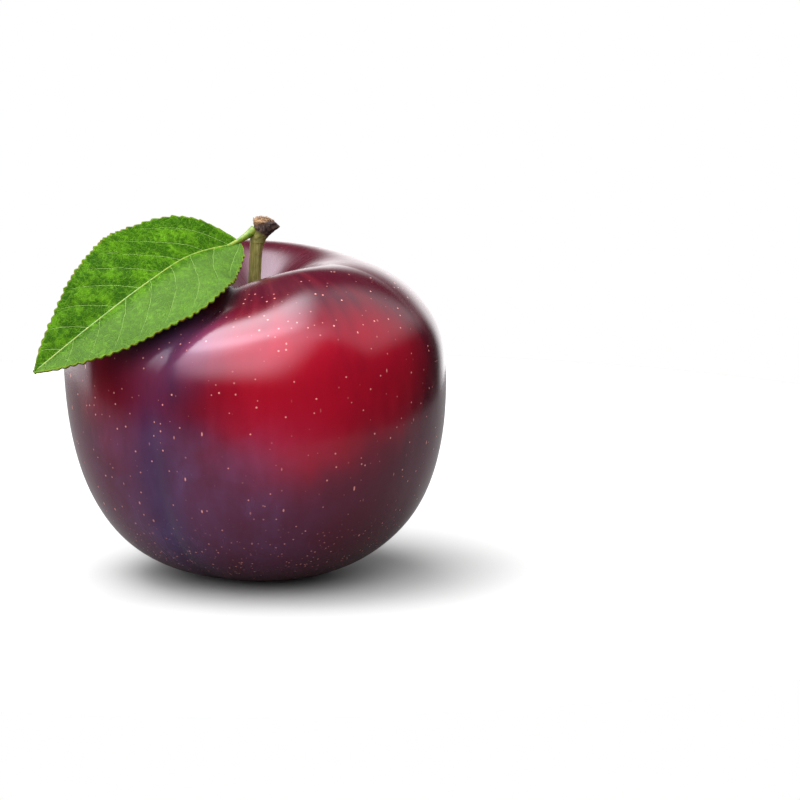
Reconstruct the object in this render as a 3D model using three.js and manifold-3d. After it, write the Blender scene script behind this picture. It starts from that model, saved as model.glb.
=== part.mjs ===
// A ripe dessert plum as picked: the fruit, its stalk, the scrap of spur wood that
// the stalk broke away with, and one toothed leaf that arches over the shoulder.
// Millimetres, +Z up. The origin is the middle of the small flat spot that the fruit
// stands on, the camera side is -Y, and the leaf reaches out towards -X.
import * as THREE from "three";
import { mergeVertices } from "three/addons/utils/BufferGeometryUtils.js";
import Module from "manifold-3d";

const { degToRad, lerp, smoothstep, clamp } = THREE.MathUtils;

// The fruit's body: two superellipse halves that meet at the girth.
const GIRTH_RADIUS = 29.6;
const GIRTH_HEIGHT = 33.8;
const CROWN_HEIGHT = 52.7;
const SQUARENESS = 2.55;
const FLAT_SPOT_RADIUS = 5.5;

// The hollow round the stalk, and the socket that the stalk grows from.
const HOLLOW_DEPTH = 9;
const HOLLOW_RADIUS = 8.5;
const HOLLOW_POWER = 1.7;
const SOCKET_RADIUS = 2;
const SOCKET_DEPTH = 1.2;

// The suture: a shallow seam from the base to the hollow, with a cheek swollen on each
// side. It ends in a groove over the rim, and the shoulder dips all round that groove.
// Azimuths turn from the camera side (-Y) towards +X. A share counts the way up the
// meridian, from 0 at the base to 1 in the hollow, and the rim is at RIM_SHARE.
const SUTURE_AZIMUTH = degToRad(-34);
const SUTURE_SWING_START = 0.5;
const SEAM_DEPTH = 0.4;
const SEAM_WIDTH = 1.5;
const SEAM_STARTS = [0.04, 0.3];
const SEAM_ENDS = [0.93, 1];
const RIM_SHARE = 0.8;
const GROOVE_AZIMUTH = degToRad(-20);
const GROOVE_DEPTH = 1;
const GROOVE_WIDTH = 3;
const GROOVE_SPAN = 0.09;
const DIP_DEPTH = 5.8;
const DIP_SPREAD = degToRad(42);
const CHEEK_SWELL = 0.45;

// No fruit is quite even: the crown leans, and its left and far shoulders stand higher.
const CROWN_LEAN = -1.45;
const LEFT_RISE = 2.1;
const FAR_RISE = 0.85;

// Sectors crowd together at the suture: this share of their spacing is even.
const FRUIT_RINGS = 42;
const FRUIT_SECTORS = 68;
const EVEN_SPACING = 0.3;

// The stalk, from its flared foot in the socket up to the spur wood.
const STALK_FOOT = new THREE.Vector3(-1, 0, 43.4);
const STALK_TOP = new THREE.Vector3(-0.3, 0.3, 52.4);
const STALK_BOW = 0.15;
const STALK_RADIUS = 0.98;
const STALK_FOOT_RADIUS = 1.5;
const FLARE_SHARE = 0.3;
const COLLAR_START = 0.7;
const COLLAR_SWELL = 0.12;
const FLUTES = 5;
const FLUTE_DEPTH = 0.04;
const STALK_RINGS = 14;
const STALK_SIDES = 14;

// The spur wood: a knob of bark that flares from the stalk to a broken, corky top.
const WOOD_GAP = 0.1;
const WOOD_HEIGHT = 3.7;
const WOOD_LEDGE = 0.15;
const WOOD_TOP_RADIUS = 1.85;
const WOOD_OVERHANG = 1.05;
const WOOD_SWELL_END = 0.75;
const WOOD_TAPER = 0.3;
const WOOD_TAPER_START = 0.8;
const WOOD_TOP_TILT = 0.35;
const WOOD_RIDGES = [
  { depth: 0.1, count: 3, twist: 4 },
  { depth: 0.07, count: 7, twist: -9 },
];
const WOOD_RINGS = 9;
const WOOD_SIDES = 20;

// The leaf: petiole and blade along one line that arches over the shoulder, then
// droops. The blade's upper face looks up at the petiole and outwards at the tip.
const LEAF_LINE = new THREE.CatmullRomCurve3([
  new THREE.Vector3(-1.8, -0.5, 52.6),
  new THREE.Vector3(-10.3, -8.2, 51.6),
  new THREE.Vector3(-16.9, -17.3, 48.7),
  new THREE.Vector3(-25.1, -23, 43.2),
  new THREE.Vector3(-34, -25.9, 36.3),
]);
const LEAF_FACING = new THREE.CatmullRomCurve3([
  new THREE.Vector3(0.07, -0.63, 0.77),
  new THREE.Vector3(-0.16, -0.78, 0.61),
  new THREE.Vector3(-0.46, -0.83, 0.32),
]);
const BLADE_START = 0.035;
const BLADE_HALF_WIDTH = 10.3;
const BLADE_END_WIDTH = 0.3;
const BLADE_FORWARD = 0.8;
const BLADE_FULLNESS = 0.85;
const BLADE_THICKNESS = 0.6;
const BLADE_FOLD = degToRad(7);
const BLADE_COLUMNS = 8;
const MARGIN_WAVES = 3.5;
const MARGIN_WAVE_HEIGHT = 0.25;
const WAVE_FULL_WIDTH = 6;
const TEETH = 38;
const TOOTH_HEIGHT = 0.42;
const TOOTH_PEAK = 0.7;
const TOOTH_FULL_WIDTH = 4;
const PETIOLE_RADIUS = 0.5;
const MIDRIB_TIP_RADIUS = 0.28;
const MIDRIB_DROP = 0.25;
const MIDRIB_DROP_END = 0.1;
const MIDRIB_END = 0.97;
const MIDRIB_RINGS = 40;
const MIDRIB_SIDES = 8;

const wasm = await Module();
wasm.setup();

/** A closed geometry as a solid that can be joined to others. */
function toSolid(geometry) {
  const plain = geometry.clone();
  plain.deleteAttribute("normal");
  const merged = mergeVertices(plain, 1e-4);
  const vertProperties = new Float32Array(merged.attributes.position.array);
  const triVerts = new Uint32Array(merged.index.array);
  return new wasm.Manifold(new wasm.Mesh({ numProp: 3, vertProperties, triVerts }));
}

/** A joined solid as a geometry again. */
function toGeometry(solid) {
  const mesh = solid.getMesh();
  const geometry = new THREE.BufferGeometry();
  geometry.setAttribute("position", new THREE.BufferAttribute(mesh.vertProperties, 3));
  geometry.setIndex(new THREE.BufferAttribute(mesh.triVerts, 1));
  geometry.computeVertexNormals();
  return geometry;
}

/** A closed solid skinned over rings of points, with a fan over each end. */
function loft(rings) {
  const sides = rings[0].length;
  const points = rings.flat();
  const middle = (ring) =>
    ring.reduce((sum, p) => sum.add(p), new THREE.Vector3()).divideScalar(sides);
  const first = points.push(middle(rings[0])) - 1;
  const last = points.push(middle(rings[rings.length - 1])) - 1;
  const lastRing = (rings.length - 1) * sides;
  const faces = [];
  for (let side = 0; side < sides; side++) {
    const next = (side + 1) % sides;
    faces.push(first, next, side);
    faces.push(last, lastRing + side, lastRing + next);
    for (let ring = 0; ring < rings.length - 1; ring++) {
      const low = ring * sides;
      const high = low + sides;
      faces.push(low + side, low + next, high + next);
      faces.push(low + side, high + next, high + side);
    }
  }
  const geometry = new THREE.BufferGeometry().setFromPoints(points);
  geometry.setIndex(faces);
  geometry.computeVertexNormals();
  return geometry;
}

/** A named mesh with a plain material in the piece's own colour. */
function piece(name, geometry, colour, roughness) {
  const material = new THREE.MeshStandardMaterial({ color: colour, roughness, metalness: 0 });
  const mesh = new THREE.Mesh(geometry, material);
  mesh.name = name;
  return mesh;
}

const bell = (distance, width) => Math.exp(-((distance / width) ** 2));

/** The fruit's outline from base to socket, as radius (x) and height (y). */
class Meridian extends THREE.Curve {
  getPoint(t) {
    const angle = t * this.lastAngle;
    const lower = angle < Math.PI / 2;
    const power = 2 / SQUARENESS;
    const reach = lower ? GIRTH_HEIGHT : CROWN_HEIGHT - GIRTH_HEIGHT;
    const radius = GIRTH_RADIUS * Math.sin(angle) ** power;
    const rise = reach * Math.abs(Math.cos(angle)) ** power;
    const hollow = lower ? 0 : HOLLOW_DEPTH * Math.exp(-((radius / HOLLOW_RADIUS) ** HOLLOW_POWER));
    return new THREE.Vector2(radius, lower ? GIRTH_HEIGHT - rise : GIRTH_HEIGHT + rise - hollow);
  }

  /** The angle at which the outline has come in to the socket's edge. */
  get lastAngle() {
    return Math.PI - Math.asin((SOCKET_RADIUS / GIRTH_RADIUS) ** (SQUARENESS / 2));
  }
}

/** The fruit, with its flat spot, suture, dipped rim, hollow and socket. */
function fruitGeometry() {
  const meridian = new Meridian();
  meridian.arcLengthDivisions = 2000;
  const outline = meridian.getSpacedPoints(FRUIT_RINGS);
  const cut = 1 - (FLAT_SPOT_RADIUS / GIRTH_RADIUS) ** SQUARENESS;
  const flatHeight = GIRTH_HEIGHT * (1 - cut ** (1 / SQUARENESS));
  const flatEdge = new THREE.Vector2(FLAT_SPOT_RADIUS, flatHeight);
  const rings = [fruitRing(flatEdge, new THREE.Vector2(0, -1), 0, flatHeight)];
  outline.forEach((point, index) => {
    if (point.x < FLAT_SPOT_RADIUS + 1 && point.y < GIRTH_HEIGHT) return;
    const share = index / FRUIT_RINGS;
    const before = outline[Math.max(index - 1, 0)];
    const after = outline[Math.min(index + 1, FRUIT_RINGS)];
    const along = after.clone().sub(before).normalize();
    rings.push(fruitRing(point, new THREE.Vector2(along.y, -along.x), share, flatHeight));
  });
  const mouth = rings[rings.length - 1];
  rings.push(mouth.map((p) => new THREE.Vector3(p.x, p.y, p.z - SOCKET_DEPTH)));
  return loft(rings);
}

/** One ring of the fruit, pressed in along the suture and dipped where that crosses the rim. */
function fruitRing(point, outward, share, flatHeight) {
  const ring = [];
  const lifted = smoothstep(share, ...SEAM_STARTS);
  const seam = SEAM_DEPTH * lifted * (1 - smoothstep(share, ...SEAM_ENDS));
  const groove = GROOVE_DEPTH * bell(share - RIM_SHARE, GROOVE_SPAN);
  const dip = DIP_DEPTH * (1 - smoothstep(share, RIM_SHARE, 1));
  const swing = smoothstep(share, SUTURE_SWING_START, RIM_SHARE);
  const suture = lerp(SUTURE_AZIMUTH, GROOVE_AZIMUTH, swing);
  const girth = GIRTH_HEIGHT - flatHeight;
  for (let sector = 0; sector < FRUIT_SECTORS; sector++) {
    const turn = (sector / FRUIT_SECTORS) * 2 - 1;
    const fromSuture = Math.PI * lerp(turn ** 3, turn, EVEN_SPACING);
    const distance = point.x * fromSuture;
    const cheek = CHEEK_SWELL * lifted * Math.sin(clamp(Math.abs(fromSuture), 0, Math.PI / 2) * 2);
    const press = seam * bell(distance, SEAM_WIDTH) + groove * bell(distance, GROOVE_WIDTH) - cheek;
    const radius = point.x - press * outward.x;
    const height = Math.max(point.y - press * outward.y - flatHeight, 0);
    const shoulder = Math.max(height - girth, 0) / (CROWN_HEIGHT - GIRTH_HEIGHT);
    const sunk = height - dip * bell(fromSuture, DIP_SPREAD) * shoulder;
    const azimuth = suture + fromSuture;
    ring.push(settle(radius * Math.sin(azimuth), -radius * Math.cos(azimuth), sunk));
  }
  return ring;
}

/** A point of the even fruit, moved by the crown's lean and the shoulders' rise. */
function settle(x, y, height) {
  const high = height / CROWN_HEIGHT;
  const rise = ((FAR_RISE * y - LEFT_RISE * x) / GIRTH_RADIUS) * high ** 3;
  return new THREE.Vector3(x + CROWN_LEAN * high ** 2, y, height + rise);
}

/** Round rings along a curve, with a radius that the caller gives for each share of it. */
function tubeRings(curve, count, sides, radiusAt) {
  const frames = curve.computeFrenetFrames(count);
  const rings = [];
  for (let i = 0; i <= count; i++) {
    const centre = curve.getPointAt(i / count);
    const ring = [];
    for (let side = 0; side < sides; side++) {
      const angle = (side / sides) * 2 * Math.PI;
      const radius = radiusAt(i / count, angle);
      const point = centre.clone();
      point.addScaledVector(frames.normals[i], radius * Math.cos(angle));
      point.addScaledVector(frames.binormals[i], radius * Math.sin(angle));
      ring.push(point);
    }
    rings.push(ring);
  }
  return rings;
}

/** The stalk: slim in the middle, flared at its foot, a little stouter at the top. */
function stalkGeometry() {
  const middle = STALK_FOOT.clone().lerp(STALK_TOP, 0.5);
  middle.x -= STALK_BOW;
  const curve = new THREE.CatmullRomCurve3([STALK_FOOT, middle, STALK_TOP]);
  const radiusAt = (share, angle) => {
    const flare = (STALK_FOOT_RADIUS - STALK_RADIUS) * (1 - smoothstep(share, 0, FLARE_SHARE));
    const collar = COLLAR_SWELL * smoothstep(share, COLLAR_START, 1);
    return STALK_RADIUS + flare + collar + FLUTE_DEPTH * Math.cos(FLUTES * angle);
  };
  return loft(tubeRings(curve, STALK_RINGS, STALK_SIDES, radiusAt));
}

/** The spur wood: rough bark that leans out over one side and ends in a torn top. */
function woodGeometry() {
  const base = STALK_TOP.clone().add(new THREE.Vector3(0, 0, WOOD_GAP));
  const rings = [];
  for (let i = 0; i <= WOOD_RINGS; i++) {
    const share = i / WOOD_RINGS;
    const swell = smoothstep(share, 0, WOOD_SWELL_END);
    const taper = 1 - WOOD_TAPER * smoothstep(share, WOOD_TAPER_START, 1);
    const smooth = lerp(STALK_RADIUS + WOOD_LEDGE, WOOD_TOP_RADIUS, swell) * taper;
    const ring = [];
    for (let side = 0; side < WOOD_SIDES; side++) {
      const angle = (side / WOOD_SIDES) * 2 * Math.PI;
      const ridge = ({ depth, count, twist }) => depth * Math.sin(count * angle + twist * share);
      const rough = WOOD_RIDGES.map(ridge).reduce((sum, depth) => sum + depth, 0);
      const radius = smooth * (1 + rough * swell);
      ring.push(
        new THREE.Vector3(
          base.x + WOOD_OVERHANG * swell + radius * Math.cos(angle),
          base.y + radius * Math.sin(angle),
          base.z + WOOD_HEIGHT * share - WOOD_TOP_TILT * Math.cos(angle) * swell,
        ),
      );
    }
    rings.push(ring);
  }
  return loft(rings);
}

/** The leaf's centre, direction and upper side at a share of its line. */
function leafFrame(share) {
  const centre = LEAF_LINE.getPointAt(share);
  const tangent = LEAF_LINE.getTangentAt(share);
  const facing = LEAF_FACING.getPoint(share);
  const normal = facing.addScaledVector(tangent, -facing.dot(tangent)).normalize();
  const across = new THREE.Vector3().crossVectors(normal, tangent);
  return { centre, tangent, normal, across };
}

/** How far the blade reaches from its midrib at a share of its length. */
function bladeHalfWidth(share) {
  const outline = Math.sin(Math.PI * share ** BLADE_FORWARD) ** BLADE_FULLNESS;
  return Math.max(BLADE_HALF_WIDTH * outline, BLADE_END_WIDTH);
}

/** The blade: two rows of points a leaf's thickness apart, closed round the margin. */
function bladeGeometry() {
  const rows = 2 * TEETH;
  const top = [];
  const bottom = [];
  for (let row = 0; row <= rows; row++) {
    const tooth = row % 2;
    const share = (Math.floor(row / 2) + tooth * TOOTH_PEAK) / TEETH;
    const { centre, normal, across } = leafFrame(lerp(BLADE_START, 1, share));
    const width = bladeHalfWidth(share);
    const reach = width + tooth * TOOTH_HEIGHT * smoothstep(width, 0, TOOTH_FULL_WIDTH);
    for (let column = 0; column <= BLADE_COLUMNS; column++) {
      const side = (2 * column) / BLADE_COLUMNS - 1;
      const out = Math.abs(side);
      const ripple = Math.sin(2 * Math.PI * MARGIN_WAVES * share + side);
      const wave = MARGIN_WAVE_HEIGHT * out ** 2 * ripple * smoothstep(width, 0, WAVE_FULL_WIDTH);
      const lift = out * width * Math.sin(BLADE_FOLD) + wave;
      const point = centre.clone();
      point.addScaledVector(across, side * reach * Math.cos(BLADE_FOLD));
      point.addScaledVector(normal, lift);
      top.push(point.clone().addScaledVector(normal, BLADE_THICKNESS / 2));
      bottom.push(point.clone().addScaledVector(normal, -BLADE_THICKNESS / 2));
    }
  }
  return sheet(top, bottom, rows, BLADE_COLUMNS);
}

/** A thin solid between two like grids of points, split alike on both faces. */
function sheet(top, bottom, rows, columns) {
  const points = [...top, ...bottom];
  const under = top.length;
  const at = (row, column) => row * (columns + 1) + column;
  const faces = [];
  const wall = (a, b) => faces.push(a, b, b + under, a, b + under, a + under);
  for (let row = 0; row < rows; row++) {
    for (let column = 0; column < columns; column++) {
      const [a, b] = [at(row, column), at(row, column + 1)];
      const [c, d] = [at(row + 1, column + 1), at(row + 1, column)];
      faces.push(a, c, b, a, d, c);
      faces.push(a + under, b + under, c + under, a + under, c + under, d + under);
    }
    wall(at(row + 1, 0), at(row, 0));
    wall(at(row, columns), at(row + 1, columns));
  }
  for (let column = 0; column < columns; column++) {
    wall(at(0, column), at(0, column + 1));
    wall(at(rows, column + 1), at(rows, column));
  }
  const geometry = new THREE.BufferGeometry().setFromPoints(points);
  geometry.setIndex(faces);
  geometry.computeVertexNormals();
  return geometry;
}

/** The petiole, which runs on under the blade as its midrib and thins to the tip. */
function midribGeometry() {
  const line = new THREE.Curve();
  line.getPoint = (share) => {
    const { centre, normal } = leafFrame(share * MIDRIB_END);
    return centre.addScaledVector(normal, -MIDRIB_DROP * smoothstep(share, 0, MIDRIB_DROP_END));
  };
  const radiusAt = (share) => lerp(PETIOLE_RADIUS, MIDRIB_TIP_RADIUS, share);
  return loft(tubeRings(line, MIDRIB_RINGS, MIDRIB_SIDES, radiusAt));
}

/** The whole leaf as one body. */
function leafGeometry() {
  return toGeometry(toSolid(bladeGeometry()).add(toSolid(midribGeometry())));
}

const group = new THREE.Group();
group.add(piece("fruit", fruitGeometry(), 0x7a1226, 0.3));
group.add(piece("stalk", stalkGeometry(), 0x8c8a3c, 0.6));
group.add(piece("spur_wood", woodGeometry(), 0x6b4a35, 0.9));
group.add(piece("leaf", leafGeometry(), 0x4f8c1f, 0.55));

export default group;
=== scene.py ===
"""A ripe dessert plum with its stalk, spur wood and leaf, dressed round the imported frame."""

import logging
import math
import random
from dataclasses import dataclass
from enum import Enum
from typing import Sequence, Union

import bpy
import numpy as np
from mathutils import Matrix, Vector, noise


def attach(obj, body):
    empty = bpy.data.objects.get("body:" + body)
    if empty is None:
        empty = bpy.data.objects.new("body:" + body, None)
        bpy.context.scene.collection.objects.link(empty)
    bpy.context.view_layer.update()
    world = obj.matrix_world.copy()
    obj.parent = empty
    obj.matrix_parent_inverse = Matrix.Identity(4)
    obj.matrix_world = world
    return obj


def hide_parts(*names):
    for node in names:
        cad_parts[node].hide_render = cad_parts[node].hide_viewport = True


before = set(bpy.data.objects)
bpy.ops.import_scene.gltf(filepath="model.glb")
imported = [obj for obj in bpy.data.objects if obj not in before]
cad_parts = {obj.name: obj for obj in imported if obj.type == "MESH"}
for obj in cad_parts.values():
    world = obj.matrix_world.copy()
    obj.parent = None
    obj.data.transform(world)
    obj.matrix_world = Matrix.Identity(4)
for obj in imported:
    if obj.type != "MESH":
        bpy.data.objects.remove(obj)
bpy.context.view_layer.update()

log = logging.getLogger("plum")

# Sizes are in millimetres, and MM turns them into Blender's metres.
MM = 0.001
BODY = "root"
# A length that counts as none.
NOTHING = 1e-6

Colour = tuple[float, float, float]
Point = tuple[float, float, float]
# Where a rise starts and where it ends.
Band = tuple[float, float]
Socket = bpy.types.NodeSocket
Value = Union[Socket, float, Sequence[float]]


class Slot(Enum):
    """The record's material slots."""

    SKIN = "skin"
    STALK = "stalk"
    BARK = "bark"
    LEAF = "leaf"


def smoothstep(value: np.ndarray | float, low: float, high: float) -> np.ndarray | float:
    """Rises evenly from 0 at low to 1 at high, with no corner at either end.

    Args:
        value: the number or numbers to read.
        low: where the rise starts.
        high: where the rise ends.

    Returns:
        The share of the rise, from 0 to 1.
    """
    share = np.clip((value - low) / (high - low), 0.0, 1.0)
    return share * share * (3 - 2 * share)


def bell(distance: np.ndarray | float, width: float) -> np.ndarray | float:
    """A smooth bump, 1 at distance 0 and about a third at the width."""
    return np.exp(-((distance / width) ** 2))


def noise_at(points: np.ndarray, size: float) -> np.ndarray:
    """Smooth noise from -1 to 1 at each point.

    Args:
        points: places in millimetres, one to a row.
        size: how many millimetres one lump of the noise measures.

    Returns:
        One value for each point.
    """
    return np.array([noise.noise(Vector(p) / size) for p in points])


class RoundedLine:
    """A smooth line through a few points, which keeps its bends even, read by share of its length."""

    STEPS = 400
    NUDGE = 1e-3

    def __init__(self, points: Sequence[Sequence[float]]) -> None:
        """Keeps the points and measures the line.

        Args:
            points: the places that the line goes through.
        """
        self._points = [np.array(point, float) for point in points]
        places = np.array([self.by_parameter(i / self.STEPS) for i in range(self.STEPS + 1)])
        lengths = np.linalg.norm(np.diff(places, axis=0), axis=1)
        self._shares = np.concatenate([[0.0], np.cumsum(lengths)]) / lengths.sum()
        self.length = float(lengths.sum())

    def by_parameter(self, parameter: float) -> np.ndarray:
        """The place at a parameter that counts the spans between the points.

        Args:
            parameter: from 0 at the first point to 1 at the last.

        Returns:
            The place there.
        """
        points = self._points
        last = len(points) - 1
        span = min(int(parameter * last), last - 1)
        weight = parameter * last - span
        one, two = points[span], points[span + 1]
        before = points[span - 1] if span else 2 * one - two
        after = points[span + 2] if span + 2 <= last else 2 * two - one
        pairs = ((before, one), (one, two), (two, after))
        first, middle, final = (math.sqrt(np.linalg.norm(b - a)) for a, b in pairs)
        start = (one - before) / first - (two - before) / (first + middle) + (two - one) / middle
        end = (two - one) / middle - (after - one) / (middle + final) + (after - two) / final
        start, end = start * middle, end * middle
        square = 3 * (two - one) - 2 * start - end
        cube = 2 * (one - two) + start + end
        return one + start * weight + square * weight**2 + cube * weight**3

    def at(self, share: float) -> np.ndarray:
        """The place at a share of the line's length."""
        steps = np.arange(self.STEPS + 1) / self.STEPS
        return self.by_parameter(float(np.interp(share, self._shares, steps)))

    def tangent(self, share: float) -> np.ndarray:
        """The line's direction at a share of its length."""
        step = self.at(min(share + self.NUDGE, 1)) - self.at(max(share - self.NUDGE, 0))
        return step / np.linalg.norm(step)


class Nodes:
    """A node tree, with short ways to add and join its nodes."""

    def __init__(self, tree: bpy.types.NodeTree) -> None:
        """Keeps the tree and empties it."""
        self.tree = tree
        self.tree.nodes.clear()

    def put(self, node: bpy.types.Node, socket: int | str, value: Value) -> None:
        """Links a socket to another socket, or sets it to a constant.

        Args:
            node: the node that has the socket.
            socket: the socket's number or name.
            value: the other socket, or the constant.
        """
        if isinstance(value, bpy.types.NodeSocket):
            self.tree.links.new(value, node.inputs[socket])
        else:
            node.inputs[socket].default_value = value

    def add(self, kind: str, inputs: dict[int | str, Value], **settings: object) -> bpy.types.Node:
        """Adds a node.

        Args:
            kind: the node's type, without its ShaderNode prefix.
            inputs: a socket or a constant for each input.
            **settings: the node's own properties.

        Returns:
            The node.
        """
        node = self.tree.nodes.new("ShaderNode" + kind)
        for name, value in settings.items():
            setattr(node, name, value)
        for socket, value in inputs.items():
            self.put(node, socket, value)
        return node

    def split(self, vector: Socket) -> tuple[Socket, Socket, Socket]:
        """A vector's three parts."""
        parts = self.add("SeparateXYZ", {0: vector})
        return parts.outputs[0], parts.outputs[1], parts.outputs[2]

    def vector(self, x: Value, y: Value, z: Value) -> Socket:
        """A vector made of three parts."""
        return self.add("CombineXYZ", {0: x, 1: y, 2: z}).outputs[0]

    def dot(self, first: Socket, second: Sequence[float]) -> Socket:
        """How far one vector reaches along another."""
        inputs = {0: first, 1: second}
        return self.add("VectorMath", inputs, operation="DOT_PRODUCT").outputs["Value"]

    def math(
        self, operation: str, first: Value, second: Value = 0.0, clamp: bool = False
    ) -> Socket:
        """A sum, product or other step of arithmetic.

        Args:
            operation: the Math node's operation.
            first: its first number.
            second: its second number.
            clamp: whether the result stays from 0 to 1.

        Returns:
            The result.
        """
        inputs = {0: first, 1: second}
        return self.add("Math", inputs, operation=operation, use_clamp=clamp).outputs[0]

    def clamped(self, value: Socket) -> Socket:
        """The value, kept from 0 to 1."""
        return self.math("ADD", value, 0.0, clamp=True)

    def product(self, *values: Value) -> Socket:
        """Multiplies values together.

        Args:
            *values: sockets or constants, in order.

        Returns:
            Their product.
        """
        result = values[0]
        for value in values[1:]:
            result = self.math("MULTIPLY", result, value)
        return result

    def total(self, *values: Value) -> Socket:
        """Adds values together.

        Args:
            *values: sockets or constants, in order.

        Returns:
            Their sum.
        """
        result = values[0]
        for value in values[1:]:
            result = self.math("ADD", result, value)
        return result

    def rise(self, value: Value, low: float, high: float, top: float = 1.0) -> Socket:
        """A smooth rise from 0 at low to top at high; high may be the smaller one."""
        inputs = {"Value": value, "From Min": low, "From Max": high, "To Max": top}
        return self.add("MapRange", inputs, interpolation_type="SMOOTHSTEP").outputs[0]


class Shader(Nodes):
    """A material's nodes round one Principled shader."""

    def __init__(self, name: str) -> None:
        """Starts the material.

        Args:
            name: the material's name.
        """
        self.material = bpy.data.materials.new(name)
        self.material.use_nodes = True
        super().__init__(self.material.node_tree)
        out = self.tree.nodes.new("ShaderNodeOutputMaterial")
        self.surface = self.tree.nodes.new("ShaderNodeBsdfPrincipled")
        self.tree.links.new(self.surface.outputs["BSDF"], out.inputs["Surface"])

    def set(self, **values: Value) -> None:
        """Sets the Principled shader's sockets, named with _ for a space.

        Args:
            **values: a socket or a constant for each name.
        """
        for name, value in values.items():
            flat = isinstance(value, tuple) and len(value) == 3
            self.put(self.surface, name.replace("_", " "), (*value, 1.0) if flat else value)

    def place(self) -> Socket:
        """Reads Object coordinates.

        Returns:
            The coordinates, in millimetres.
        """
        coordinates = self.add("TexCoord", {})
        scale = (1 / MM, 1 / MM, 1 / MM)
        return self.add("Mapping", {0: coordinates.outputs["Object"], 3: scale}).outputs[0]

    def attribute(self, name: str) -> Socket:
        """A number that the mesh holds for each vertex."""
        return self.add("Attribute", {}, attribute_name=name).outputs["Fac"]

    def far_from(self, place: Socket, centre: Sequence[float]) -> Socket:
        """How far a place lies from a fixed point."""
        return self.add("VectorMath", {0: place, 1: centre}, operation="DISTANCE").outputs["Value"]

    def noise(
        self, vector: Value, size: float, detail: float = 2.0, distortion: float = 0.0
    ) -> Socket:
        """Noise from 0 to 1.

        Args:
            vector: where it is read.
            size: the size of one lump, in the vector's units.
            detail: how many finer layers it has.
            distortion: how far it is swirled.

        Returns:
            The noise.
        """
        inputs = {"Vector": vector, "Scale": 1 / size, "Detail": detail, "Distortion": distortion}
        return self.add("TexNoise", inputs).outputs["Fac"]

    def swing(self, value: Socket, reach: float) -> Socket:
        """Noise made to swing both ways about 0."""
        return self.math("MULTIPLY", self.math("SUBTRACT", value, 0.5), 2 * reach)

    def mix(self, share: Value, first: Value, second: Value) -> Socket:
        """A colour between two colours.

        Args:
            share: 0 for the first and 1 for the second.
            first: the first colour.
            second: the second colour.

        Returns:
            The colour.
        """
        node = self.tree.nodes.new("ShaderNodeMix")
        node.data_type = "RGBA"
        self.put(node, 0, share)
        for socket, colour in ((6, first), (7, second)):
            flat = not isinstance(colour, bpy.types.NodeSocket)
            self.put(node, socket, (*colour, 1.0) if flat else colour)
        return node.outputs[2]

    def bump(self, height: Socket, depth: float, under: Socket | None = None) -> Socket:
        """A normal that follows a height.

        Args:
            height: from 0 to 1.
            depth: what a height of 1 measures, in millimetres.
            under: a coarser bump that this one lies on.

        Returns:
            The normal.
        """
        inputs = {"Height": height, "Distance": depth * MM, "Strength": 1.0}
        if under is not None:
            inputs["Normal"] = under
        return self.add("Bump", inputs).outputs[0]


def deselect_all() -> None:
    """Leaves edit mode and deselects every object."""
    if bpy.context.object and bpy.context.object.mode == "EDIT":
        bpy.ops.object.mode_set(mode="OBJECT")
    bpy.ops.object.select_all(action="DESELECT")


def places_of(obj: bpy.types.Object) -> np.ndarray:
    """Reads where a mesh's vertices are.

    Args:
        obj: the mesh object.

    Returns:
        The vertices in millimetres, one to a row.
    """
    places = np.empty(len(obj.data.vertices) * 3)
    obj.data.vertices.foreach_get("co", places)
    return places.reshape(-1, 3) / MM


def move_to(obj: bpy.types.Object, places: np.ndarray) -> None:
    """Moves a mesh's vertices to places in millimetres."""
    obj.data.vertices.foreach_set("co", (places * MM).ravel())
    obj.data.update()


def keep_attribute(obj: bpy.types.Object, name: str, values: np.ndarray) -> None:
    """Stores a number for each vertex, which a material can read.

    Args:
        obj: the mesh object.
        name: the attribute's name.
        values: one number for each vertex.
    """
    attribute = obj.data.attributes.new(name, "FLOAT", "POINT")
    attribute.data.foreach_set("value", np.asarray(values, np.float32))


def close_edit(obj: bpy.types.Object, merge_distance: float = 1e-3) -> None:
    """Merges doubles, turns the faces outwards, leaves edit mode and puts the place in the mesh.

    Args:
        obj: the object being edited.
        merge_distance: how close vertices are to be one, in millimetres.
    """
    bpy.ops.mesh.select_all(action="SELECT")
    bpy.ops.mesh.remove_doubles(threshold=merge_distance * MM)
    bpy.ops.mesh.normals_make_consistent(inside=False)
    bpy.ops.object.mode_set(mode="OBJECT")
    bpy.ops.object.transform_apply(location=True, rotation=True, scale=True)
    bpy.ops.object.shade_smooth()
    obj.select_set(False)


def pull_tube(sides: int, stations: Sequence[tuple[np.ndarray, float]]) -> bpy.types.Object:
    """Extrudes a filled circle upwards from station to station, which leaves both ends closed.

    Args:
        sides: how many sides the tube has.
        stations: the centre and the radius of each ring, in millimetres.

    Returns:
        The tube.
    """
    deselect_all()
    centre, radius = stations[0]
    bpy.ops.mesh.primitive_circle_add(
        vertices=sides,
        radius=radius * MM,
        fill_type="NGON",
        location=centre * MM,
        enter_editmode=True,
    )
    for (before, old), (after, new) in zip(stations, stations[1:]):
        bpy.ops.mesh.extrude_region_move(TRANSFORM_OT_translate={"value": (after - before) * MM})
        bpy.ops.transform.resize(value=(new / old, new / old, 1), center_override=after * MM)
    tube = bpy.context.object
    close_edit(tube)
    return tube


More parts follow.
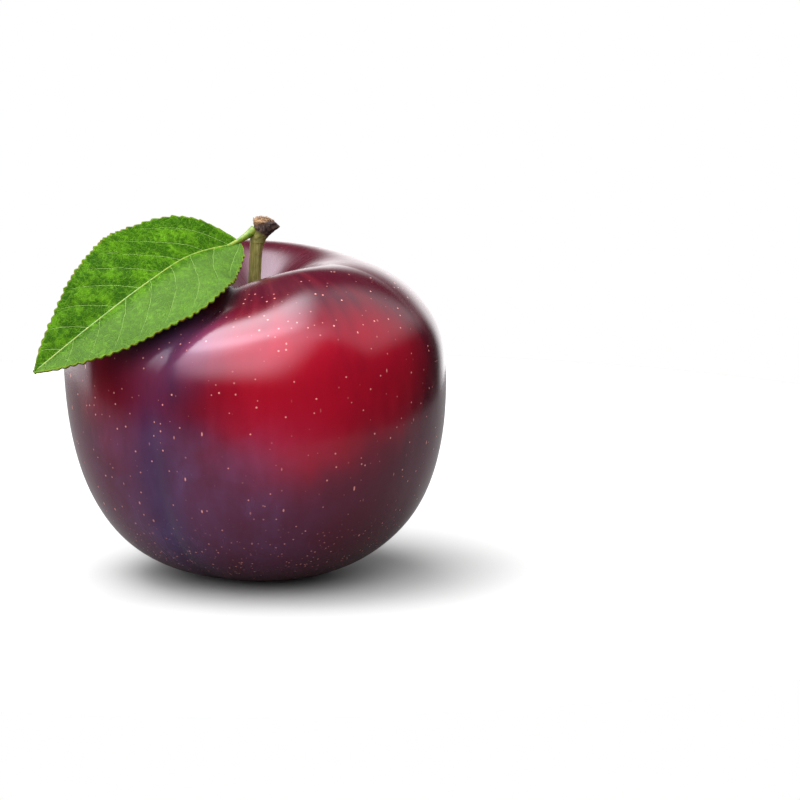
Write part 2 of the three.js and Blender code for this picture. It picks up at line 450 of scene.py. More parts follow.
def hand_in(
    obj: bpy.types.Object, name: str, slot: Slot, material: bpy.types.Material, *nodes: str
) -> None:
    """Names a finished piece, gives it its material and ties it to the frame.

    Args:
        obj: the piece.
        name: its name.
        slot: the record's slot for its finish; not used.
        material: its material.
        *nodes: the CAD nodes that it stands for, if any.
    """
    obj.name = name
    obj.data.name = name
    obj.data.materials.clear()
    obj.data.materials.append(material)
    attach(obj, BODY)
    if nodes:
        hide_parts(*nodes)
    log.info("%s: %d vertices, %d faces", name, len(obj.data.vertices), len(obj.data.polygons))


@dataclass(frozen=True)
class SkinFinish:
    """Waxy plum skin: crimson blush over dark purple, pale lenticels, a thin bloom and a painted
    lavender reflection.

    Each blush has a centre, a reach and a strength. A band of heights or distances says where
    a zone starts and where it is full.
    """

    maroon: Colour = (0.048, 0.0014, 0.0055)
    blush: Colour = (0.30, 0.0022, 0.0115)
    purple: Colour = (0.085, 0.005, 0.015)
    seam_blue: Colour = (0.034, 0.012, 0.048)
    bloom: Colour = (0.22, 0.19, 0.50)
    lenticel: Colour = (0.78, 0.30, 0.27)
    reflection_tint: Colour = (0.95, 0.83, 1.0)
    blushes: tuple[tuple[Point, float, float], ...] = (
        ((5.5, -29.0, 32.5), 22.5, 1.0),
        ((17.0, -23.0, 36.0), 17.0, 0.85),
        ((-21.0, -21.0, 31.0), 14.0, 0.35),
        ((-6.0, 27.0, 33.0), 26.0, 0.6),
    )
    blush_core: float = 0.2
    crown_heights: Band = (52.0, 40.0)
    blotch_size: float = 12.0
    blotch_swing: float = 0.2
    streak_size: float = 0.075
    streak_squash: float = 0.012
    streak_swing: float = 0.16
    purple_heights: Band = (31.0, 14.0)
    purple_share: float = 0.9
    purple_wander: float = 7.0
    purple_under_blush: float = 6.0
    seam_share: float = 0.8
    bloom_centre: Point = (-13.0, -24.0, 16.0)
    bloom_reach: Band = (30.0, 8.0)
    bloom_heights: Band = (34.0, 22.0)
    bloom_away: float = 0.1
    bloom_between_clouds: float = 0.35
    bloom_between_streaks: float = 0.5
    bloom_share: float = 0.095
    bloom_everywhere: float = 0.008
    cloud_size: float = 9.0
    cloud_band: Band = (0.25, 0.75)
    # Painted reflection: a lobe of bloom colour high on the left, beside the suture.
    painted_reflection_centre: Point = (-13.0, -22.0, 39.0)
    painted_reflection_reach: Band = (12.0, 2.0)
    painted_reflection_share: float = 0.11
    roughness: float = 0.17
    streak_roughness: float = 0.08
    bloom_roughness: float = 0.7
    hollow_roughness: float = 0.1
    refraction: float = 1.5
    grain_size: float = 0.3
    pore_depth: float = 0.004
    dot_radius: float = 0.19
    dot_core: float = 0.45
    dot_cell: float = 1.45
    dot_paleness: Band = (-0.1, 0.7)
    dot_share: float = 0.85
    tick_cell: float = 1.5
    tick_squash: float = 0.4
    base_dot_cell: float = 0.62
    base_dot_heights: Band = (14.0, 6.0)

    def material(self) -> bpy.types.Material:
        """Builds the skin's nodes.

        Returns:
            The material.
        """
        s = Shader("plum_skin")
        place = s.place()
        streak = self._streak(s, place)
        blotch = s.noise(place, self.blotch_size, detail=3.0, distortion=0.4)
        colour = self._ground(s, place, streak, blotch)
        # Bloom, and a painted reflection in the bloom's colour.
        bloom_and_painted_reflection = self._bloom_and_painted_reflection(s, place, streak)
        colour = s.mix(bloom_and_painted_reflection, colour, self.bloom)
        dots = self._lenticels(s, place)
        colour = s.mix(dots, colour, self.lenticel)
        rough = s.total(
            self.roughness,
            s.swing(streak, self.streak_roughness),
            s.product(bloom_and_painted_reflection, self.bloom_roughness),
            s.product(s.attribute("hollow"), self.hollow_roughness),
        )
        grain = s.noise(place, self.grain_size)
        pores = s.bump(s.math("SUBTRACT", grain, dots), self.pore_depth)
        s.set(Base_Color=colour, Roughness=rough, Normal=pores)
        s.set(IOR=self.refraction, Specular_Tint=self.reflection_tint)
        return s.material

    def _streak(self, s: Shader, place: Socket) -> Socket:
        """Noise that runs down the fruit from the stalk to the base.

        Args:
            s: the skin's shader.
            place: object coordinates in millimetres.

        Returns:
            The noise, from 0 to 1.
        """
        x, y, z = s.split(place)
        outward = s.add("VectorMath", {0: s.vector(x, y, 0.0)}, operation="NORMALIZE").outputs[0]
        flat_x, flat_y, _ = s.split(outward)
        along = s.product(z, self.streak_squash)
        return s.noise(s.vector(flat_x, flat_y, along), self.streak_size, detail=3.0)

    def _ground(self, s: Shader, place: Socket, streak: Socket, blotch: Socket) -> Socket:
        """The skin's own colour, without bloom and lenticels.

        Args:
            s: the skin's shader.
            place: object coordinates in millimetres.
            streak: noise that runs down the fruit.
            blotch: noise in broad patches.

        Returns:
            The colour.
        """
        tone: Value = 0.0
        for centre, reach, strength in self.blushes:
            distance = s.far_from(place, centre)
            lobe = s.rise(distance, reach, self.blush_core * reach, strength)
            tone = s.math("MAXIMUM", tone, lobe)
        _, _, z = s.split(place)
        tone = s.product(tone, s.rise(z, *self.crown_heights))
        swings = (s.swing(blotch, self.blotch_swing), s.swing(streak, self.streak_swing))
        tone = s.total(tone, *swings)
        colour = s.mix(s.clamped(tone), self.maroon, self.blush)
        wander = s.swing(blotch, self.purple_wander)
        low = s.total(z, wander, s.product(tone, self.purple_under_blush))
        share = s.rise(low, *self.purple_heights, self.purple_share)
        colour = s.mix(share, colour, self.purple)
        return s.mix(s.product(s.attribute("seam"), self.seam_share), colour, self.seam_blue)

    def _bloom_and_painted_reflection(self, s: Shader, place: Socket, streak: Socket) -> Socket:
        """How much bloom lies on the skin, with a painted reflection high on the left beside the
        suture.

        Args:
            s: the skin's shader.
            place: object coordinates in millimetres.
            streak: noise that runs down the fruit.

        Returns:
            The share of bloom colour, painted reflection included.
        """
        _, _, z = s.split(place)
        cloud = s.noise(place, self.cloud_size, detail=4.0, distortion=0.6)
        cloud = s.rise(cloud, *self.cloud_band)
        lobe = s.rise(s.far_from(place, self.bloom_centre), *self.bloom_reach)
        share = s.product(
            s.total(lobe, self.bloom_away),
            s.rise(z, *self.bloom_heights),
            s.total(cloud, self.bloom_between_clouds),
            s.total(streak, self.bloom_between_streaks),
        )
        # Painted reflection: bloom colour laid where a lavender reflection shows.
        painted_reflection = s.rise(s.far_from(place, self.painted_reflection_centre), *self.painted_reflection_reach, self.painted_reflection_share)
        return s.total(s.product(share, self.bloom_share), painted_reflection, self.bloom_everywhere)

    def _lenticels(self, s: Shader, place: Socket) -> Socket:
        """Pale dots, close together at the base, and a few upright ticks.

        Args:
            s: the skin's shader.
            place: object coordinates in millimetres.

        Returns:
            1 in a dot and 0 between them.
        """
        x, y, z = s.split(place)
        ticks = s.vector(x, y, s.product(z, self.tick_squash))
        layers = (
            (place, self.dot_cell, 1.0),
            (ticks, self.dot_cell * self.tick_cell, 1.0),
            (place, self.dot_cell * self.base_dot_cell, s.rise(z, *self.base_dot_heights)),
        )
        dots: Value = 0.0
        for vector, cell, share in layers:
            cells = s.add("TexVoronoi", {"Vector": vector, "Scale": 1 / cell})
            radius = self.dot_radius / cell
            spot = s.rise(cells.outputs["Distance"], radius, self.dot_core * radius)
            pale = s.rise(s.split(cells.outputs["Color"])[0], *self.dot_paleness)
            dots = s.math("MAXIMUM", dots, s.product(spot, pale, share))
        outside = s.math("SUBTRACT", self.dot_share, s.attribute("hollow"))
        return s.math("MULTIPLY", dots, outside, clamp=True)


@dataclass(frozen=True)
class StalkFinish:
    """Fresh green-brown stalk with fine lengthwise fibres, a few dark specks and painted shade that
    browns its +X side.
    """

    olive: Colour = (0.15, 0.14, 0.028)
    straw: Colour = (0.26, 0.23, 0.065)
    brown: Colour = (0.1, 0.055, 0.02)
    roughness: float = 0.5
    fibre_size: float = 0.22
    fibre_squash: float = 0.06
    fibre_band: Band = (0.35, 0.65)
    fibre_depth: float = 0.05
    cloud_size: float = 1.6
    cloud_level: float = 0.62
    # Painted shade: where across the stalk the +X side darkens to brown, and how far.
    painted_shade_side: Band = (-1.2, 1.2)
    brown_and_painted_shade: float = 0.5
    speck_cell: float = 0.9
    speck_edge: Band = (0.16, 0.08)
    speck_share: float = 0.6

    def material(self) -> bpy.types.Material:
        """Builds the stalk's nodes.

        Returns:
            The material.
        """
        s = Shader("plum_stalk")
        place = s.place()
        x, y, z = s.split(place)
        lengthwise = s.vector(x, y, s.product(z, self.fibre_squash))
        fibre = s.noise(lengthwise, self.fibre_size, detail=3.0)
        cloud = s.noise(place, self.cloud_size, detail=3.0)
        colour = s.mix(s.rise(fibre, *self.fibre_band), self.olive, self.straw)
        # Brown clouds, plus painted shade that browns the +X side.
        clouded = s.math("SUBTRACT", cloud, self.cloud_level)
        brown_and_painted_shade = s.total(s.rise(x, *self.painted_shade_side, self.brown_and_painted_shade), clouded)
        colour = s.mix(s.clamped(brown_and_painted_shade), colour, self.brown)
        cells = s.add("TexVoronoi", {"Vector": place, "Scale": 1 / self.speck_cell})
        specks = s.rise(cells.outputs[0], *self.speck_edge)
        colour = s.mix(s.product(specks, self.speck_share), colour, self.brown)
        relief = s.bump(fibre, self.fibre_depth)
        s.set(Base_Color=colour, Roughness=self.roughness, Normal=relief)
        return s.material


@dataclass(frozen=True)
class BarkFinish:
    """Spur wood: dark purplish-brown bark, and tan corky fibres where it tore."""

    bark: Colour = (0.075, 0.038, 0.027)
    dark: Colour = (0.018, 0.009, 0.009)
    cork: Colour = (0.13, 0.062, 0.026)
    pale: Colour = (0.30, 0.18, 0.09)
    olive: Colour = (0.17, 0.155, 0.035)
    roughness: float = 0.85
    bark_line: float = 54.1
    slope: float = 0.56
    line_fade: Band = (0.25, -0.35)
    line_wander: float = 0.25
    contrast: Band = (0.4, 0.62)
    crack_size: float = 0.3
    crack_squash: float = 0.4
    crack_depth: float = 0.14
    fleck_size: float = 0.16
    fleck_depth: float = 0.05

    def material(self) -> bpy.types.Material:
        """Builds the bark's nodes.

        Returns:
            The material.
        """
        s = Shader("spur_bark")
        place = s.place()
        x, y, z = s.split(place)
        lengthwise = s.vector(x, y, s.product(z, self.crack_squash))
        crack = s.noise(lengthwise, self.crack_size, detail=4.0, distortion=0.5)
        colour = s.mix(s.rise(crack, *self.contrast), self.dark, self.bark)
        fleck = s.noise(place, self.fleck_size, detail=3.0)
        cork = s.mix(s.rise(fleck, *self.contrast), self.cork, self.pale)
        height = s.total(z, s.product(x, self.slope), s.swing(crack, self.line_wander))
        start, end = (self.bark_line + step for step in self.line_fade)
        colour = s.mix(s.rise(height, start, end), colour, self.olive)
        colour = s.mix(s.attribute("torn"), colour, cork)
        relief = s.bump(fleck, self.fleck_depth, s.bump(crack, self.crack_depth))
        s.set(Base_Color=colour, Roughness=self.roughness, Normal=relief)
        return s.material


@dataclass(frozen=True)
class LeafFinish:
    """Leaf green with pale veins, a fine net between them, a yellow-brown margin and a painted sheen
    on one half.
    """

    green: Colour = (0.014, 0.060, 0.0006)
    lime: Colour = (0.062, 0.17, 0.004)
    # Painted sheen: the pale whitish green that one half of the blade is mixed towards.
    painted_sheen: Colour = (0.088, 0.165, 0.038)
    vein: Colour = (0.18, 0.32, 0.07)
    net: Colour = (0.11, 0.25, 0.008)
    midrib: Colour = (0.19, 0.24, 0.02)
    margin: Colour = (0.13, 0.21, 0.012)
    tip: Colour = (0.15, 0.10, 0.012)
    roughness: float = 0.42
    gloss: float = 0.03
    cloud_size: float = 3.2
    cloud_band: Band = (0.38, 0.72)
    fleck_size: float = 0.7
    fleck_swing: float = 0.3
    # Where across the blade the painted sheen starts and where it is full.
    painted_sheen_band: Band = (-0.02, 0.3)
    painted_sheen_share: float = 0.6
    net_layers: tuple[tuple[float, float, float], ...] = ((0.75, 0.11, 1.0), (0.26, 0.12, 0.5))
    net_line: float = 0.02
    net_share: float = 0.25
    net_depth: float = 0.07
    swirl_scale: float = 0.9
    swirl: float = 0.9
    vein_edge: Band = (0.472, 0.494)
    vein_end: Band = (0.98, 0.7)
    vein_wobble: float = 0.14
    vein_wobble_size: float = 2.5
    vein_share: float = 0.85
    vein_depth: float = 0.12
    margin_reach: float = 0.35
    margin_share: float = 0.75
    tip_reach: float = 0.16
    tip_patch_size: float = 0.8
    tip_patches: Band = (0.45, 0.6)
    rib_streak_size: float = 0.5
    rib_band: Band = (0.35, 0.7)
    rib_depth: float = 0.03

    def blade(self) -> bpy.types.Material:
        """Builds the blade's nodes.

        Returns:
            The material.
        """
        s = Shader("leaf_blade")
        sheet = s.add("UVMap", {}, uv_map="sheet").outputs[0]
        flecks = s.swing(s.noise(sheet, self.fleck_size, detail=3.0), self.fleck_swing)
        cloud = s.total(s.noise(sheet, self.cloud_size, detail=3.0), flecks)
        colour = s.mix(s.rise(cloud, *self.cloud_band), self.green, self.lime)
        # Painted sheen: the half of the blade that faces up is made paler, as if lit and glossy.
        painted_sheen_mask = s.rise(s.attribute("side"), *self.painted_sheen_band, self.painted_sheen_share)
        colour = s.mix(painted_sheen_mask, colour, self.painted_sheen)
        net = self._net(s, sheet)
        colour = s.mix(s.product(net, self.net_share), colour, self.net)
        veins = self._side_veins(s, sheet)
        colour = s.mix(s.product(veins, self.vein_share), colour, self.vein)
        edge = s.attribute("edge")
        margin = s.rise(edge, self.margin_reach, 0.0, self.margin_share)
        colour = s.mix(margin, colour, self.margin)
        patches = s.rise(s.noise(sheet, self.tip_patch_size, detail=1.0), *self.tip_patches)
        browned = s.product(s.rise(edge, self.tip_reach, 0.0), patches)
        colour = s.mix(browned, colour, self.tip)
        relief = s.bump(s.math("SUBTRACT", 1.0, net), self.net_depth)
        relief = s.bump(s.math("SUBTRACT", 1.0, veins), self.vein_depth, relief)
        s.set(Base_Color=colour, Roughness=self.roughness, Normal=relief)
        s.set(Specular_IOR_Level=self.gloss)
        return s.material

    def _net(self, s: Shader, sheet: Socket) -> Socket:
        """The net of small veins, coarse and fine.

        Args:
            s: the blade's shader.
            sheet: the blade's flat coordinates in millimetres.

        Returns:
            1 on a small vein and 0 between them.
        """
        net: Value = 0.0
        for vector, layer in zip((self._swirled(s, sheet), sheet), self.net_layers):
            cell, edge, strength = layer
            inputs = {"Vector": vector, "Scale": 1 / cell}
            cells = s.add("TexVoronoi", inputs, feature="DISTANCE_TO_EDGE")
            line = s.rise(cells.outputs[0], edge, self.net_line, strength)
            net = s.math("MAXIMUM", net, line)
        return net

    def _swirled(self, s: Shader, sheet: Socket) -> Socket:
        """Pushes flat coordinates about a little, so that no vein is straight.

        Args:
            s: the blade's shader.
            sheet: the blade's flat coordinates in millimetres.

        Returns:
            The swirled coordinates.
        """
        inputs = {"Vector": sheet, "Scale": self.swirl_scale, "Detail": 2.0}
        push = s.add("TexNoise", inputs).outputs["Color"]
        inputs = {0: push, 1: (self.swirl, self.swirl, 0.0)}
        push = s.add("VectorMath", inputs, operation="MULTIPLY").outputs[0]
        return s.add("VectorMath", {0: sheet, 1: push}, operation="ADD").outputs[0]

    def _side_veins(self, s: Shader, sheet: Socket) -> Socket:
        """Thin lines where the vein phase passes a whole number.

        Args:
            s: the blade's shader.
            sheet: the blade's flat coordinates in millimetres.

        Returns:
            1 on a side vein and 0 beside it.
        """
        wobble = s.product(s.noise(sheet, self.vein_wobble_size, detail=2.0), self.vein_wobble)
        phase = s.math("FRACT", s.total(s.attribute("vein_phase"), wobble))
        apart = s.math("ABSOLUTE", s.math("SUBTRACT", phase, 0.5))
        line = s.rise(apart, *self.vein_edge)
        return s.product(line, s.rise(s.attribute("out"), *self.vein_end))

    def rib(self) -> bpy.types.Material:
        """Builds the nodes of the petiole and midrib.

        Returns:
            The material.
        """
        s = Shader("leaf_midrib")
        streak = s.noise(s.place(), self.rib_streak_size, detail=3.0)
        colour = s.mix(s.rise(streak, *self.rib_band), self.midrib, self.lime)
        relief = s.bump(streak, self.rib_depth)
        s.set(Base_Color=colour, Roughness=self.roughness, Normal=relief)
        return s.material


@dataclass
class Fruit:
    """The fruit: a spun body pressed in along its suture, with the stalk's hollow."""

    girth_radius: float = 29.6
    girth_height: float = 33.8
    crown_height: float = 52.7
    squareness: float = 2.55
    flat_spot_radius: float = 5.5
    hollow_depth: float = 9.0
    hollow_radius: float = 8.5
    hollow_power: float = 1.7
    socket_radius: float = 2.0
    socket_depth: float = 1.2
    suture_azimuth: float = math.radians(-34)
    seam_depth: float = 0.4
    seam_width: float = 1.5
    rim_share: float = 0.8
    groove_azimuth: float = math.radians(-20)
    groove_depth: float = 1.0
    groove_width: float = 3.0
    groove_span: float = 0.09
    dip_depth: float = 5.8
    dip_spread: float = math.radians(42)
    cheek_swell: float = 0.45
    crown_lean: float = -1.45
    left_rise: float = 2.1
    far_rise: float = 0.85
    undulation: float = 0.16
    undulation_size: float = 13.0
    scar_radius: float = 1.1
    scar_depth: float = 0.35
    scar_share: float = 0.2
    bend_share: float = 0.5
    lifted_shares: Band = (0.04, 0.3)
    seam_end_shares: Band = (0.93, 1.0)
    mark_width: float = 2.6
    mark_shares: Band = (0.05, 0.3)
    mark_end_shares: Band = (0.48, 0.62)
    hollow_share: float = 0.92
    wall_steps: tuple[Band, ...] = ((0.05, 0.5), (0.3, 1.0))
    samples: int = 4001
    rings: int = 230
    sectors: int = 320

    def build(self) -> None:
        """Models the fruit, marks its zones and dresses it."""
        body = self._spun_body()
        share, distance = self._settle(body)
        mark = bell(distance, self.mark_width * self.seam_width)
        mark *= smoothstep(share, *self.mark_shares)
        keep_attribute(body, "seam", mark * (1 - smoothstep(share, *self.mark_end_shares)))
        keep_attribute(body, "hollow", smoothstep(share, self.rim_share, self.hollow_share))
        hand_in(body, "plum_fruit", Slot.SKIN, SkinFinish().material(), "fruit")

    def _profile(self) -> tuple[np.ndarray, np.ndarray]:
        """The meridian from the base to the socket.

        Returns:
            Radius and height for each ring, and each ring's share of the way up.
        """
        power = 2 / self.squareness
        mouth = (self.socket_radius / self.girth_radius) ** (self.squareness / 2)
        angle = np.linspace(0, math.pi - math.asin(mouth), self.samples)
        lower = angle < math.pi / 2
        reach = np.where(lower, self.girth_height, self.crown_height - self.girth_height)
        radius = self.girth_radius * np.sin(angle) ** power
        rise = reach * np.abs(np.cos(angle)) ** power
        hollow = self.hollow_depth * np.exp(-((radius / self.hollow_radius) ** self.hollow_power))
        height = np.where(lower, self.girth_height - rise, self.girth_height + rise - hollow)
        steps = np.hypot(np.diff(radius), np.diff(height))
        travelled = np.concatenate([[0], np.cumsum(steps)]) / steps.sum()
        share = np.linspace(0, 1, self.rings + 1)
        columns = [np.interp(share, travelled, values) for values in (radius, height)]
        return np.stack(columns, axis=1), share

    def _spun_body(self) -> bpy.types.Object:
        """Extrudes the meridian point by point and spins it round the upright axis.

        Returns:
            The even body.
        """
        places, _ = self._profile()
        mouth = places[-1]
        wall = [mouth - np.array(step) * (1, self.socket_depth) for step in self.wall_steps]
        floor = np.array([0.0, mouth[1] - self.socket_depth])
        outline = np.vstack([places, wall, floor])
        deselect_all()
        bpy.ops.mesh.primitive_plane_add(size=MM, enter_editmode=True)
        bpy.ops.mesh.merge(type="CENTER")
        for step in np.diff(outline, axis=0) * MM:
            move = {"value": (step[0], 0, step[1])}
            bpy.ops.mesh.extrude_region_move(TRANSFORM_OT_translate=move)
        bpy.ops.mesh.select_all(action="SELECT")
        bpy.ops.mesh.spin(steps=self.sectors, angle=math.tau, center=(0, 0, 0), axis=(0, 0, 1))
        body = bpy.context.object
        close_edit(body)
        return body

    def _settle(self, body: bpy.types.Object) -> tuple[np.ndarray, np.ndarray]:
        """Presses in the seam and groove, dips the rim, leans the crown and roughens it faintly.

        Args:
            body: the even, spun fruit, whose vertices this moves.

        Returns:
            Each vertex's share of the way up, and its distance from the suture.
        """
        even = places_of(body)
        places, shares = self._profile()
        radius = np.hypot(even[:, 0], even[:, 1])
        rings = self._nearest_ring(radius, even[:, 2], places)
        share = shares[rings]
        along = np.gradient(places, axis=0)
        along /= np.linalg.norm(along, axis=1, keepdims=True)
        outward = np.stack([along[:, 1], -along[:, 0]], axis=1)[rings]
        swing = smoothstep(share, self.bend_share, self.rim_share)
        suture = self.suture_azimuth + (self.groove_azimuth - self.suture_azimuth) * swing
        azimuth = np.arctan2(even[:, 0], -even[:, 1])
        from_suture = (azimuth - suture + math.pi) % (2 * math.pi) - math.pi
        distance = radius * from_suture
        lifted = smoothstep(share, *self.lifted_shares)
        seam = self.seam_depth * lifted * (1 - smoothstep(share, *self.seam_end_shares))
        groove = self.groove_depth * bell(share - self.rim_share, self.groove_span)
        aside = np.clip(np.abs(from_suture), 0, math.pi / 2)
        cheek = self.cheek_swell * lifted * np.sin(2 * aside)
        press = seam * bell(distance, self.seam_width) - cheek
        press += groove * bell(distance, self.groove_width)
        press -= self.undulation * lifted * noise_at(even, self.undulation_size)
        out = radius - press * outward[:, 0]
        height = np.maximum(even[:, 2] - press * outward[:, 1] - self._flat_height(), 0)
        shoulder = self.crown_height - self.girth_height
        raised = np.maximum(height - self.girth_height + self._flat_height(), 0) / shoulder
        dip = self.dip_depth * (1 - smoothstep(share, self.rim_share, 1))
        height -= dip * bell(from_suture, self.dip_spread) * raised
        height += self.scar_depth * bell(radius, self.scar_radius) * (share < self.scar_share)
        high = height / self.crown_height
        x = out * np.sin(azimuth)
        y = -out * np.cos(azimuth)
        rise = ((self.far_rise * y - self.left_rise * x) / self.girth_radius) * high**3
        move_to(body, np.stack([x + self.crown_lean * high**2, y, height + rise], axis=1))
        return share, distance

    def _flat_height(self) -> float:
        """How much of the base the flat spot cuts off."""
        cut = 1 - (self.flat_spot_radius / self.girth_radius) ** self.squareness
        return self.girth_height * (1 - cut ** (1 / self.squareness))

    def _nearest_ring(
        self, radius: np.ndarray, height: np.ndarray, places: np.ndarray
    ) -> np.ndarray:
        """Finds the meridian point that each vertex was spun from.

        Args:
            radius: each vertex's distance from the upright axis.
            height: each vertex's height.
            places: radius and height of the meridian's points.

        Returns:
            The number of the nearest point for each vertex.
        """
        nearest = np.zeros(len(radius), int)
        least = np.full(len(radius), np.inf)
        for index, (ring_radius, ring_height) in enumerate(places):
            gap = (radius - ring_radius) ** 2 + (height - ring_height) ** 2
            closer = gap < least
            nearest[closer] = index
            least[closer] = gap[closer]
        return nearest


@dataclass
class Stalk:
    """The stalk: slim and fluted, flared where it grows out of the fruit."""

    foot: Point = (-0.85, 0.0, 43.0)
    top: Point = (-0.3, 0.3, 53.4)
    bow: float = 0.15
    radius: float = 0.93
    foot_radius: float = 1.8
    collar: float = 0.2
    collar_share: float = 0.7
    flare_share: float = 0.24
    flare_power: float = 1.4
    flutes: int = 9
    fine_flutes: int = 23
    flute_depth: float = 0.05
    twist: float = 0.5
    lump_height: float = 0.07
    lump_size: float = 0.9
    stations: int = 60
    sides: int = 64

    def build(self) -> None:
        """Models the stalk, cuts its fibres and dresses it."""
        line = self.line()
        stations = []
        for share in np.linspace(0, 1, self.stations + 1):
            near_foot = (1 - smoothstep(share, 0, self.flare_share)) ** self.flare_power
            flare = (self.foot_radius - self.radius) * near_foot
            collar = self.collar * smoothstep(share, self.collar_share, 1)
            stations.append((line.at(share), self.radius + flare + collar))
        stalk = pull_tube(self.sides, stations)
        self._flute(stalk, line)
        hand_in(stalk, "plum_stalk", Slot.STALK, StalkFinish().material(), "stalk")

    def line(self) -> RoundedLine:
        """The stalk's middle line, bowed a little towards the leaf.

        Returns:
            The line, from its foot to its top.
        """
        foot, top = np.array(self.foot), np.array(self.top)
        middle = (foot + top) / 2 - (self.bow, 0, 0)
        return RoundedLine([foot, middle, top])

    def _flute(self, stalk: bpy.types.Object, line: RoundedLine) -> None:
        """Presses lengthwise grooves and small lumps into the stalk.

        Args:
            stalk: the smooth stalk.
            line: its middle line.
        """
        places = places_of(stalk)
        low, high = self.foot[2], self.top[2]
        for place in places:
            share = min(max((place[2] - low) / (high - low), 0), 1)
            off = place - line.at(share)
            angle = math.atan2(off[1], off[0])
            twist = self.twist * share
            groove = self.flute_depth * math.cos(self.flutes * (angle + twist))
            groove += self.flute_depth / 2 * math.cos(self.fine_flutes * (angle - twist) + 2)
            lump = self.lump_height * noise.noise(Vector(place) / self.lump_size)
            length = math.hypot(off[0], off[1])
            if length > NOTHING:
                place[:2] += off[:2] / length * (groove + lump)
        move_to(stalk, places)


@dataclass
class SpurWood:
    """The scrap of spur wood: bark that flares out over one side, with a torn, corky top."""

    base: Point = (-0.3, 0.3, 52.3)
    height: float = 3.85
    foot_radius: float = 1.14
    top_radius: float = 1.72
    overhang: float = 1.1
    tilt: float = 0.3
    lip: float = 0.5
    torn_slope: float = 0.3
    torn_band: Band = (55.3, 55.65)
    swell_share: float = 0.75
    crown_share: float = 0.86
    crown_taper: float = 0.3
    coarse_rough: Band = (0.55, 0.14)
    fine_rough: Band = (0.22, 0.09)
    fine_squash: Point = (1.0, 1.0, 0.5)
    smooth_foot: float = 0.3
    lip_angle: float = 0.4
    lip_share: float = 0.72
    lip_spread: float = 0.13
    ridge: float = 0.1
    ridges: int = 3
    ridge_turn: float = 4.0
    flat_middle: float = 1.5
    stations: int = 44
    sides: int = 72
    fibres: int = 130
    fibre_circle: float = 0.86
    fibre_radii: Band = (0.08, 0.17)
    fibre_lengths: Band = (0.3, 0.6)
    fibre_lean: float = 0.5
    fibre_drop: float = 0.45
    fibre_root: float = 0.2
    fibre_sides: int = 6
    fibre_taper: float = 0.35
    spike_foot: Point = (-0.9, -0.3, -0.9)
    spike_size: Band = (0.22, 1.1)
    spike_lean: Band = (0.0, -0.35)
    seed: int = 11

    def build(self) -> None:
        """Models the bark and its torn fibres and dresses them."""
        material = BarkFinish().material()
        knob = self._knob()
        places = places_of(knob)
        torn = smoothstep(places[:, 2] - self.torn_slope * places[:, 0], *self.torn_band)
        keep_attribute(knob, "torn", torn)
        hand_in(knob, "spur_wood_bark", Slot.BARK, material, "spur_wood")
        fibres = self._torn_fibres()
        keep_attribute(fibres, "torn", np.ones(len(fibres.data.vertices)))
        hand_in(fibres, "spur_wood_fibres", Slot.BARK, material)

    def _knob(self) -> bpy.types.Object:
        """Extrudes the knob ring by ring, then roughens it and pulls out its lip.

        Returns:
            The knob.
        """
        stations = []
        for share in np.linspace(0, 1, self.stations + 1):
            swell = smoothstep(share, 0, self.swell_share)
            crown = 1 - self.crown_taper * smoothstep(share, self.crown_share, 1)
            radius = (self.foot_radius + (self.top_radius - self.foot_radius) * swell) * crown
            centre = np.array(self.base) + (self.overhang * swell, 0, self.height * share)
            stations.append((centre, radius))
        knob = pull_tube(self.sides, stations)
        places = places_of(knob)
        rough = noise_at(places, self.coarse_rough[0]) * self.coarse_rough[1]
        rough += noise_at(places * self.fine_squash, self.fine_rough[0]) * self.fine_rough[1]
        for place, bark in zip(places, rough):
            share = min(max((place[2] - self.base[2]) / self.height, 0), 1)
            swell = float(smoothstep(share, 0, self.swell_share))
            off = place[:2] - (self.base[0] + self.overhang * swell, self.base[1])
            length = math.hypot(*off)
            angle = math.atan2(off[1], off[0])
            lip = self.lip * bell(angle, self.lip_angle)
            lip *= bell(share - self.lip_share, self.lip_spread)
            ridge = self.ridge * math.sin(self.ridges * angle + self.ridge_turn * share) * swell
            full = 0.0 if length < NOTHING else length / self.top_radius
            push = bark * (self.smooth_foot + swell) + lip + ridge
            place[:2] += off / max(length, NOTHING) * push * min(full * self.flat_middle, 1)
            place[2] -= self.tilt * math.cos(angle) * swell * full
        move_to(knob, places)
        return knob

    def _torn_fibres(self) -> bpy.types.Object:
        """Stands small splinters on the torn top, with one longer spike beside the leaf.

        Returns:
            The splinters, joined.
        """
        rng = random.Random(self.seed)
        middle = np.array(self.base) + (self.overhang, 0, self.height)
        splinters = []
        for _ in range(self.fibres):
            angle = rng.uniform(0, 2 * math.pi)
            out = self.top_radius * self.fibre_circle * math.sqrt(rng.random())
            x, y = out * math.cos(angle), out * math.sin(angle)
            drop = self.tilt * x / self.top_radius
            drop += self.fibre_drop * (out / self.top_radius) ** 2 + self.fibre_root
            size = (rng.uniform(*self.fibre_radii), rng.uniform(*self.fibre_lengths))
            lean = tuple(rng.uniform(-self.fibre_lean, self.fibre_lean) for _ in range(2))
            splinters.append(self._splinter(middle + (x, y, -drop), size, lean))
        spike_foot = middle + np.array(self.spike_foot) * (self.top_radius, 1, 1)
        splinters.append(self._splinter(spike_foot, self.spike_size, self.spike_lean))
        deselect_all()
        for splinter in splinters:
            splinter.select_set(True)
        bpy.context.view_layer.objects.active = splinters[0]
        bpy.ops.object.join()
        bpy.ops.object.transform_apply(location=True, rotation=True, scale=True)
        bpy.ops.object.shade_smooth()
        return bpy.context.object

